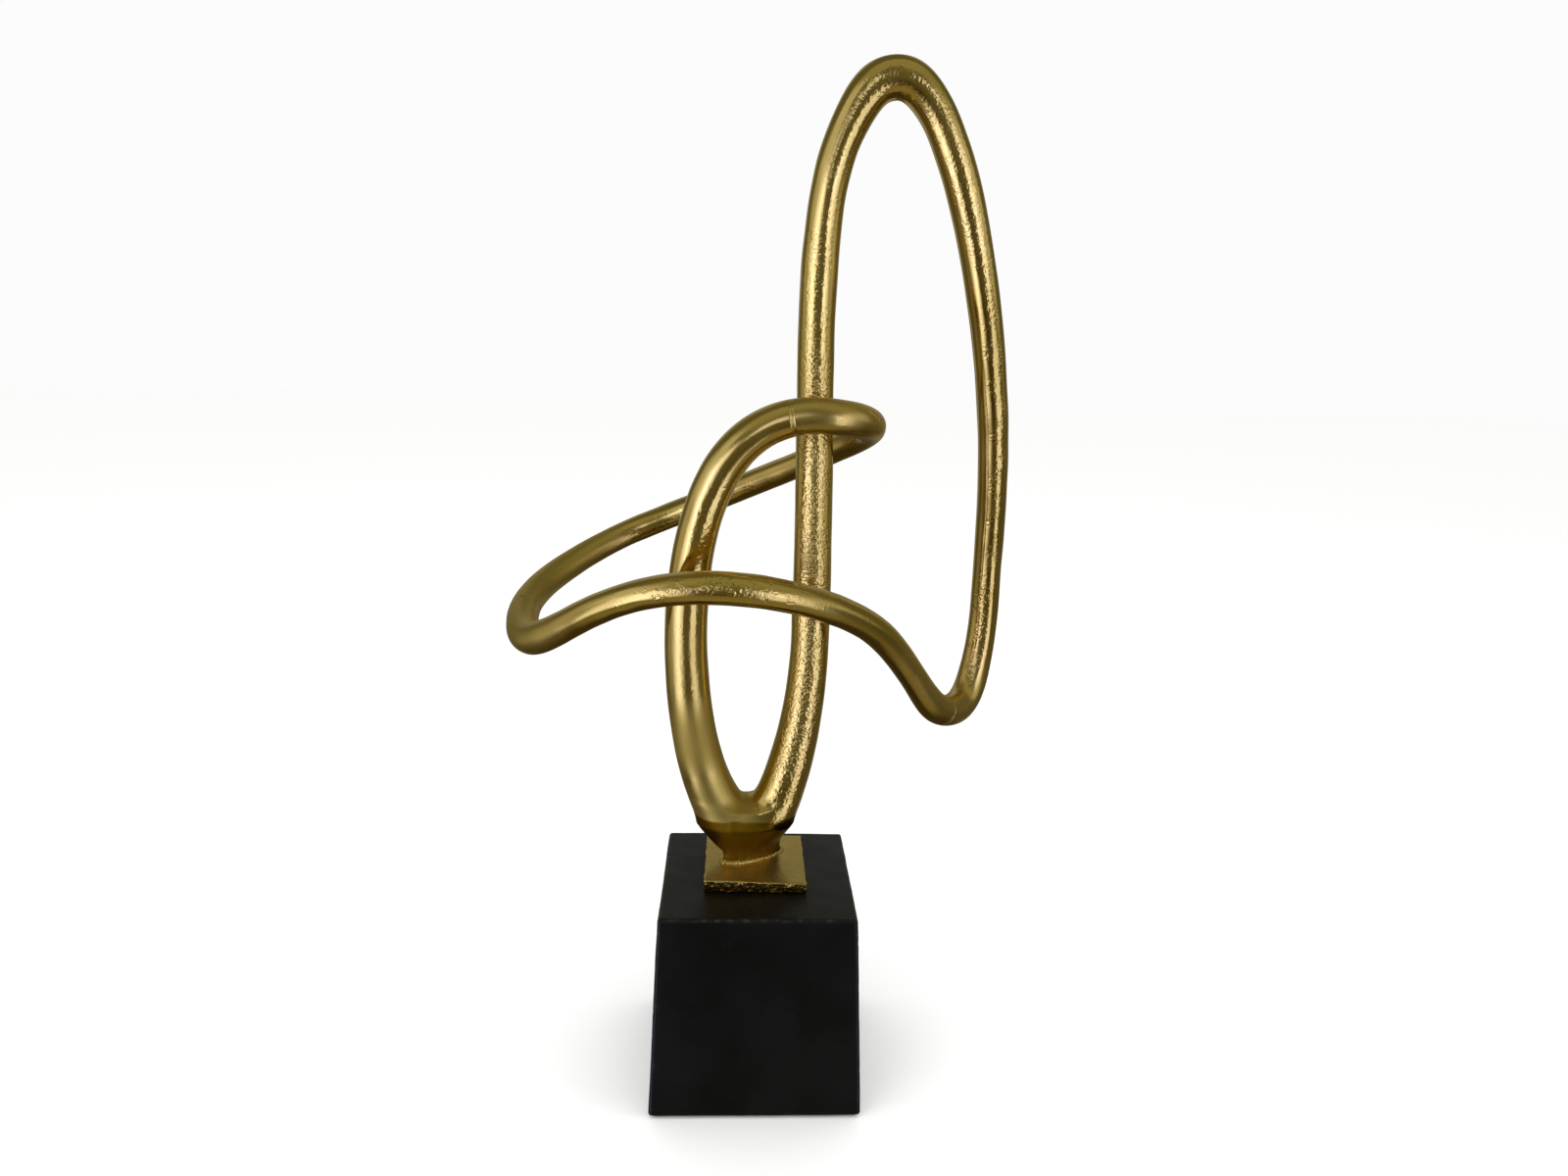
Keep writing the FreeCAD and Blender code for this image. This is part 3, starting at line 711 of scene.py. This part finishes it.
def make_foot_bead(material):
    """Weld bead round the neck's foot: rippled, fullest at the front left, with a spur where it began."""
    x, y, _, half_length, half_thickness, turn = NECK_LEVELS[0]
    turn = math.radians(turn)
    angle = np.linspace(0, 2 * math.pi, BEAD_STEPS, endpoint=False)
    u = (half_length + BEAD_OFF_ENDS) * np.cos(angle)
    v = (half_thickness + BEAD_OFF_SIDES) * np.sin(angle)
    centre_x = x + math.cos(turn) * u - math.sin(turn) * v
    centre_y = y + math.sin(turn) * u + math.cos(turn) * v
    centre = np.stack([centre_x, centre_y, plate_top(centre_x) + BEAD_LIFT], 1)
    tangent = unit(np.roll(centre, -1, 0) - np.roll(centre, 1, 0))
    outside = np.cross(tangent, (0, 0, 1))
    upward = np.cross(outside, tangent)
    swell = BEAD_SWELL * hump(angle / math.pi, 1.2, 0.3)
    spur = BEAD_SPUR * hump(angle / math.pi, 1.07, 0.025)
    ripples = 0.09 * np.sin(BEAD_RIPPLES * angle) + 0.09 * waves(centre, 5, 61)
    radius = BEAD_RADIUS + swell + spur + ripples
    round_angle = np.linspace(0, 2 * math.pi, BEAD_ROUND, endpoint=False)
    ring = np.cos(round_angle)[None, :, None] * outside[:, None]
    ring = ring + np.sin(round_angle)[None, :, None] * upward[:, None]
    points = (centre[:, None] + ring * radius[:, None, None]).reshape(-1, 3)
    points = points + ring.reshape(-1, 3) * (0.08 * waves(points, 1.8, 62))[:, None]
    faces = []
    for i in range(BEAD_STEPS):
        low, high = i * BEAD_ROUND, (i + 1) % BEAD_STEPS * BEAD_ROUND
        for k in range(BEAD_ROUND):
            after = (k + 1) % BEAD_ROUND
            faces.append((low + k, high + k, high + after, low + after))
    attributes = {"rough": np.full(len(points), 0.1), "grain": points * MM}
    return add_piece("foot_bead", points, faces, material, attributes, ("plate_fillet_weld",))


# ---------------------------------------------------------------- plinth
PLINTH_CENTRE, PLINTH_HALF = box_of("plinth_block")


def make_plinth(material):
    """Tapered block with softly rounded, slightly worn edges and a faintly uneven painted face."""
    points, outward, faces = rounded_box(PLINTH_HALF, PLINTH_ROUND, PLINTH_SPACING)
    edge_gap = np.sort(PLINTH_HALF - np.abs(points), axis=1)[:, 1]
    height = layered(points, PLINTH_FACE_WAVES)
    near_edge = 1 - ease(0.4, PLINTH_WORN_WIDTH, edge_gap)
    nicks = near_edge * np.clip(waves(points, 5, 73) - 1.15, 0, 2) * 0.5
    height = height - nicks - 0.15
    points = points + outward * height[:, None]
    level = (points[:, 2] + PLINTH_HALF[2]) / (2 * PLINTH_HALF[2])
    width = 1 + level * (PLINTH_TOP_WIDTH / PLINTH_FOOT_WIDTH - 1)
    points[:, :2] *= width[:, None]
    points = points + PLINTH_CENTRE
    attributes = {"edge": near_edge}
    stands_for = ("plinth_block",)
    return add_piece("plinth", points, faces, material, attributes, stands_for)


# ---------------------------------------------------------------- materials
class Nodes:
    """Short way to write a node tree: each call adds a node, wires its inputs and returns an output."""

    def __init__(self, block):
        block.use_nodes = True
        self.block = block
        self.tree = block.node_tree
        self.shader = self.tree.nodes.get("Principled BSDF")

    def wire(self, value, socket):
        """Links a node's output to the socket, or sets a plain value on it."""
        if isinstance(value, bpy.types.NodeSocket):
            self.tree.links.new(value, socket)
        else:
            socket.default_value = value

    def add(self, kind, inputs, output=0, **settings):
        node = self.tree.nodes.new(kind)
        for key, value in settings.items():
            setattr(node, key, value)
        for key, value in inputs.items():
            self.wire(value, node.inputs[key])
        return None if output is None else node.outputs[output]

    def attribute(self, name, output="Fac"):
        return self.add("ShaderNodeAttribute", {}, output, attribute_name=name)

    def place(self):
        return self.add("ShaderNodeTexCoord", {}, "Object")

    def noise(self, vector, scale, detail=2.0, roughness=0.5, output="Fac"):
        return self.add("ShaderNodeTexNoise", {"Vector": vector, "Scale": scale, "Detail": detail,
                                               "Roughness": roughness}, output)

    def remap(self, value, low, high, to_low=0.0, to_high=1.0):
        return self.add("ShaderNodeMapRange", {"Value": value, "From Min": low, "From Max": high,
                                               "To Min": to_low, "To Max": to_high},
                        interpolation_type="SMOOTHSTEP")

    def math(self, operation, first, second=0.0):
        return self.add("ShaderNodeMath", {0: first, 1: second}, operation=operation, use_clamp=False)

    def mix(self, factor, first, second):
        return self.add("ShaderNodeMix", {0: factor, 6: first, 7: second}, 2, data_type="RGBA")

    def bump(self, height, strength, distance, normal=None):
        inputs = {"Height": height, "Strength": strength, "Distance": distance}
        if normal is not None:
            inputs["Normal"] = normal
        return self.add("ShaderNodeBump", inputs)

    def finish(self, **inputs):
        for key, value in inputs.items():
            self.wire(value, self.shader.inputs[key.replace("_", " ")])
        return self.block


def new_material(name):
    return Nodes(bpy.data.materials.new(name))


BRIGHT_GOLD = (0.83, 0.60, 0.19, 1)
OLIVE_GOLD = (0.66, 0.49, 0.12, 1)
DULL_GOLD = (0.52, 0.385, 0.085, 1)
BROWN_GOLD = (0.36, 0.21, 0.045, 1)
# Browns for the neck wedge's painted reflection and shade, and for the plate's sides towards the bottom.
DARKENING_BROWN = (0.30, 0.17, 0.008, 1)
DEEP_DARKENING_BROWN = (0.12, 0.045, 0.003, 1)


def make_gold():
    """Gold-coloured cast metal: satin where ground, grainy on the mould's skin, with painted dark
    reflection streaks, painted shade in specks on the rough skin, brown painted reflection and shade on the
    neck's wedge, and browner towards the bottom of the plate's sides.
    """
    n = new_material("gold_cast")
    place = n.place()
    grain = n.attribute("grain", "Vector")
    rough, dull, brown_darkening = (n.attribute(name) for name in ("rough", "dull", "brown_darkening"))
    cloudy = n.remap(n.noise(place, 22, 3), 0.35, 0.65)
    # Darker streaks along the tube: painted reflection of dark things in the surroundings.
    painted_dark_streaks = n.remap(n.noise(grain, 260, 3), 0.35, 0.7)
    # Dark brown specks where the mould's skin is rough: painted shade of its grain.
    painted_shade_specks = n.remap(n.noise(place, 700, 2), 0.56, 0.68)
    tone = n.mix(n.math("MULTIPLY", cloudy, 0.6), BRIGHT_GOLD, OLIVE_GOLD)
    tone = n.mix(n.math("MULTIPLY", dull, 0.8), tone, DULL_GOLD)
    tone = n.mix(n.math("MULTIPLY", painted_dark_streaks, 0.16), tone, BROWN_GOLD)
    tone = n.mix(n.math("MULTIPLY", n.math("MULTIPLY", painted_shade_specks, rough), 0.4), tone, BROWN_GOLD)
    # Brown on the neck's wedge is painted reflection of the plate and plinth, and painted shade; on the
    # plate it darkens the sides towards the bottom.
    tone = n.mix(n.remap(brown_darkening, 0.0, 0.6), tone, DARKENING_BROWN)
    tone = n.mix(n.remap(brown_darkening, 0.6, 1.0, 0.0, 0.9), tone, DEEP_DARKENING_BROWN)
    gloss = n.remap(n.noise(place, 45, 3), 0.3, 0.7, 0.10, 0.17)
    gloss = n.math("ADD", gloss, n.math("MULTIPLY", dull, 0.30))
    satin = n.bump(n.noise(grain, 900, 3), 0.10, 0.0004)
    pebbles = n.noise(place, 640, 1, 0.5)
    amount = n.math("ADD", n.math("MULTIPLY", rough, 0.9), 0.04)
    skin = n.bump(pebbles, amount, 0.00045, satin)
    return n.finish(Base_Color=tone, Metallic=1.0, Roughness=gloss, Normal=skin)


def make_paint():
    """Matte black paint on wood, with a faint roller texture, rubbed edges and a few pale specks."""
    n = new_material("black_paint")
    place = n.place()
    edge = n.attribute("edge")
    cloudy = n.remap(n.noise(place, 14, 4), 0.3, 0.7)
    tone = n.mix(cloudy, (0.0015, 0.0016, 0.0015, 1), (0.0032, 0.0033, 0.0030, 1))
    dust = n.remap(n.noise(place, 95, 4, 0.7), 0.62, 0.80, 0, 0.35)
    tone = n.mix(dust, tone, (0.030, 0.031, 0.027, 1))
    flaking = n.remap(n.noise(place, 260, 4, 0.7), 0.52, 0.68, 0.12, 1)
    rubbed = n.math("MULTIPLY", n.math("POWER", edge, 3.0), flaking)
    tone = n.mix(n.math("MULTIPLY", rubbed, 0.45), tone, (0.060, 0.058, 0.050, 1))
    gloss = n.remap(n.noise(place, 30, 3), 0.3, 0.7, 0.30, 0.40)
    texture = n.bump(n.noise(place, 700, 3, 0.6), 0.22, 0.0005)
    texture = n.bump(n.noise(place, 60, 2), 0.15, 0.001, texture)
    return n.finish(Base_Color=tone, Roughness=gloss, Specular_IOR_Level=0.24, Normal=texture)


def make_felt():
    """Black felt: matted fibres."""
    n = new_material("felt")
    place = n.place()
    tone = n.mix(n.noise(place, 900, 5, 0.7), (0.012, 0.012, 0.012, 1), (0.035, 0.034, 0.033, 1))
    fibres = n.bump(n.noise(place, 1500, 4, 0.7), 0.6, 0.0006)
    return n.finish(Base_Color=tone, Roughness=0.95, Normal=fibres)


def make_zinc():
    """Zinc-plated steel with a faint spangle."""
    n = new_material("zinc")
    place = n.place()
    tone = n.mix(n.noise(place, 320, 3), (0.50, 0.51, 0.52, 1), (0.68, 0.68, 0.66, 1))
    gloss = n.remap(n.noise(place, 240, 3), 0.3, 0.7, 0.25, 0.42)
    spangle = n.bump(n.noise(place, 1200, 2), 0.1, 0.0003)
    return n.finish(Base_Color=tone, Metallic=1.0, Roughness=gloss, Normal=spangle)


# ---------------------------------------------------------------- building the piece
gold = make_gold()
make_casting("leg", "leg_root", "loop_seam", gold, seam_start=False, stands_for=("leg_casting",))
make_casting("back_loop", "loop_seam", "left_seam", gold, stands_for=("back_loop_casting",))
make_casting("front_sweep", "left_seam", "right_seam", gold, stands_for=("front_sweep_casting",))
make_casting("tall_loop", "right_seam", "bar_root", gold, seam_end=False, stands_for=("tall_loop_casting",))
make_seam("loop_top_seam", "loop_seam", gold, ("loop_top_weld",))
make_seam("left_bend_seam", "left_seam", gold, ("left_bend_weld",))
make_seam("right_bend_seam", "right_seam", gold, ("right_bend_weld",))
make_neck(gold)
make_plate(gold)
make_foot_bead(gold)
make_plinth(make_paint())

CAD_FINISHES = {"base_felt": make_felt()}
zinc = make_zinc()
for node_name in ("fixing_bolt", "lock_washer", "flat_washer", "locating_pins"):
    CAD_FINISHES[node_name] = zinc
for node_name, finish in CAD_FINISHES.items():
    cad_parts[node_name].data.materials.clear()
    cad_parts[node_name].data.materials.append(finish)


# ---------------------------------------------------------------- studio
# What the metal reflects: azimuth from the front towards +X, half width and softness in degrees, the sines
# of the lowest and highest elevation, brightness and tint. A later one covers an earlier one.
WINDOWS = [
    (0, 200, 8, -1.50, -0.24, 0.10, (1.0, 0.88, 0.50)),
    (0, 200, 8, -1.50, -0.66, 0.05, (1.0, 0.75, 0.30)),
    (180, 40, 12, 0.12, 0.55, 0.38, (1.0, 1.00, 0.90)),
    (10, 85, 12, 0.48, 1.50, 0.29, (1.0, 1.0, 0.65)),
    (5, 75, 12, -1.50, -0.64, 0.25, (1.0, 0.88, 0.50)),
    (-84, 22, 9, -0.40, 0.45, 0.40, (1.0, 0.97, 0.85)),
    (-64, 22, 7, 0.14, 0.60, 0.60, (1.0, 1.03, 1.1)),
    (-46, 23, 7, -0.60, 0.19, 1.15, (1.0, 1.04, 1.5)),
    (-44, 9, 4, -0.56, 0.12, 1.9, (1.0, 1.05, 1.75)),
    (68, 22, 8, -0.12, 0.46, 0.50, (1.0, 1.0, 1.0)),
    (42, 16, 4, -0.62, 0.26, 1.05, (1.0, 1.04, 1.5)),
    (36, 7, 3, -0.20, 0.06, 1.7, (1.0, 1.05, 1.75)),
    (-8, 7, 3, 0.05, 0.36, 0.95, (1.0, 1.05, 1.5)),
    (0, 12, 4, 0.46, 0.72, 0.11, (1.0, 0.90, 0.50)),
    (-1, 14, 4, -0.62, -0.46, 0.05, (1.0, 0.70, 0.30)),
    (-156, 12, 5, -0.60, 0.75, 0.32, (1.0, 1.0, 0.9)),
    (152, 12, 5, -0.60, 0.75, 0.28, (1.0, 1.0, 0.9)),
]
ROOM_COLOUR = (0.12, 0.115, 0.066, 1)
FLOOR_LEVEL = 1.055
BACKGROUND_LEVEL = 0.97
FLOOR_COLOUR = (0.96, 0.96, 0.955, 1)
FLOOR_HALF = 6.0
# Soft lights, in metres: name, azimuth, distance, height off the floor, width, tallness, watts, colour.
SOFTBOXES = [
    ("left_box", -45, 1.3, 0.75, 0.85, 1.1, 5, (1, 0.97, 0.92)),
    ("right_box", 70, 1.3, 0.70, 0.75, 1.0, 3, (1, 0.98, 0.95)),
    ("top_box", 0, 0.15, 1.7, 1.2, 1.2, 4, (1, 1, 1)),
]
SOFTBOX_AIM = 0.28
CAMERA_PLACE = (-0.0126, -0.5506, 0.3932)
CAMERA_YAW = 2.45
CAMERA_PITCH = 12.9
CAMERA_ROLL = 1.37
CAMERA_LENS = 25.6


def plain_material(name, colour, roughness):
    n = new_material(name)
    return n.finish(Base_Color=colour, Roughness=roughness)


def make_floor():
    mesh = bpy.data.meshes.new("floor")
    half = FLOOR_HALF
    corners = [(-half, -half, 0), (half, -half, 0), (half, half, 0), (-half, half, 0)]
    mesh.from_pydata(corners, [], [(0, 1, 2, 3)])
    mesh.materials.append(plain_material("pale_floor", FLOOR_COLOUR, 0.9))
    floor = bpy.data.objects.new("floor", mesh)
    bpy.context.scene.collection.objects.link(floor)
    floor.visible_glossy = False


def add_softbox(name, azimuth, distance, height, width, tall, watts, colour):
    """Rectangular soft light. Azimuth is measured at the object, from the front towards +X."""
    light = bpy.data.lights.new(name, "AREA")
    light.shape = "RECTANGLE"
    light.size, light.size_y = width, tall
    light.energy = watts
    light.color = colour
    box = bpy.data.objects.new(name, light)
    turn = math.radians(azimuth)
    box.location = (distance * math.sin(turn), -distance * math.cos(turn), height)
    away = Vector(box.location) - Vector((0, 0, SOFTBOX_AIM))
    box.rotation_euler = away.to_track_quat("Z", "Y").to_euler()
    box.visible_glossy = False
    bpy.context.scene.collection.objects.link(box)


def make_world():
    """White behind the object, even light on matte surfaces, and a dim room with windows in the metal."""
    world = bpy.data.worlds.new("studio")
    bpy.context.scene.world = world
    n = Nodes(world)
    n.tree.nodes.clear()
    way = n.add("ShaderNodeTexCoord", {}, "Generated")
    split = n.add("ShaderNodeSeparateXYZ", {0: way}).node.outputs
    azimuth = n.math("ARCTAN2", split[0], n.math("MULTIPLY", split[1], -1.0))
    height = split[2]
    light = ROOM_COLOUR
    for centre, half, soft, low, high, level, tint in WINDOWS:
        gap = n.math("ARCCOSINE", n.math("COSINE", n.math("SUBTRACT", azimuth, math.radians(centre))))
        beside = n.remap(gap, math.radians(half - soft), math.radians(half + soft), 1.0, 0.0)
        fade = math.sin(math.radians(soft))
        above = n.remap(height, low - fade, low + fade)
        below = n.remap(height, high - fade, high + fade, 1.0, 0.0)
        window = n.math("MULTIPLY", n.math("MULTIPLY", beside, above), below)
        light = n.mix(window, light, tuple(level * channel for channel in tint) + (1,))
    room = n.add("ShaderNodeBackground", {"Color": light, "Strength": 1.0})
    even = n.add("ShaderNodeBackground", {"Color": (1, 1, 1, 1), "Strength": FLOOR_LEVEL})
    seen = n.add("ShaderNodeBackground", {"Color": (1, 1, 1, 1), "Strength": BACKGROUND_LEVEL})
    rays = n.tree.nodes.new("ShaderNodeLightPath")
    shade = n.add("ShaderNodeMixShader", {0: rays.outputs["Is Glossy Ray"], 1: even, 2: room})
    shade = n.add("ShaderNodeMixShader", {0: rays.outputs["Is Camera Ray"], 1: shade, 2: seen})
    n.add("ShaderNodeOutputWorld", {0: shade}, None)


def make_camera():
    """Camera at the viewing angle of the reference: just above the middle, looking slightly down."""
    yaw, pitch, roll = (math.radians(a) for a in (CAMERA_YAW, CAMERA_PITCH, CAMERA_ROLL))
    forward = Vector((math.sin(yaw) * math.cos(pitch), math.cos(yaw) * math.cos(pitch), -math.sin(pitch)))
    right = Vector((math.cos(yaw), -math.sin(yaw), 0))
    up = right.cross(forward)
    rolled_right = math.cos(roll) * right + math.sin(roll) * up
    rolled_up = -math.sin(roll) * right + math.cos(roll) * up
    data = bpy.data.cameras.new("camera")
    data.lens = CAMERA_LENS
    data.sensor_width = 36
    camera = bpy.data.objects.new("camera", data)
    turn = Matrix((rolled_right, rolled_up, -forward)).transposed()
    camera.matrix_world = Matrix.Translation(CAMERA_PLACE) @ turn.to_4x4()
    bpy.context.scene.collection.objects.link(camera)
    bpy.context.scene.camera = camera


make_floor()
make_world()
for softbox in SOFTBOXES:
    add_softbox(*softbox)
make_camera()
bpy.context.scene.view_settings.view_transform = "Standard"
